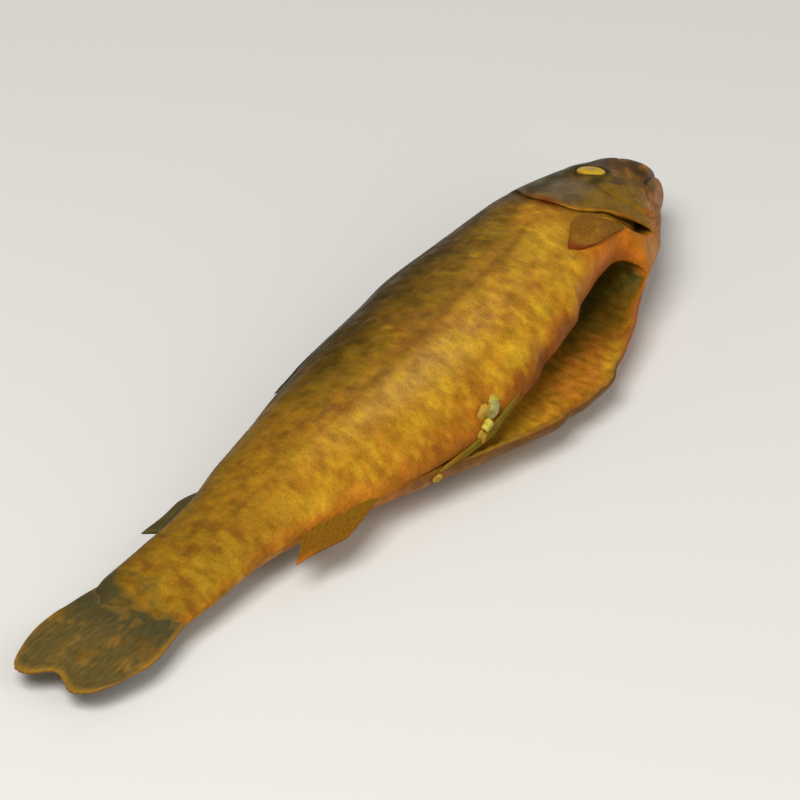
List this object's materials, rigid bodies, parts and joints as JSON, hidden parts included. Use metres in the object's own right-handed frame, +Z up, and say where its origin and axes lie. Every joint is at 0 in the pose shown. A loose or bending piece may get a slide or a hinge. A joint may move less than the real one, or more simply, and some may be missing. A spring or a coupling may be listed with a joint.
{
  "type": "smoked fish",
  "caption": "Whole smoked trout, gutted and with its head on, lying on its left flank with the belly cut open towards the viewer.",
  "frame": {"origin": "middle of the bounding box in X and Y, on the table under the left flank", "axes": "+X towards the snout, +Y towards the back of the fish, +Z up through the right flank"},
  "size_m": [0.2942, 0.069, 0.0374],
  "materials": {
    "smoked_skin": "satin, slightly oily"
  },
  "bodies": {
    "root": {"smoked_trout": "smoked_skin"}
  },
  "joints": []
}
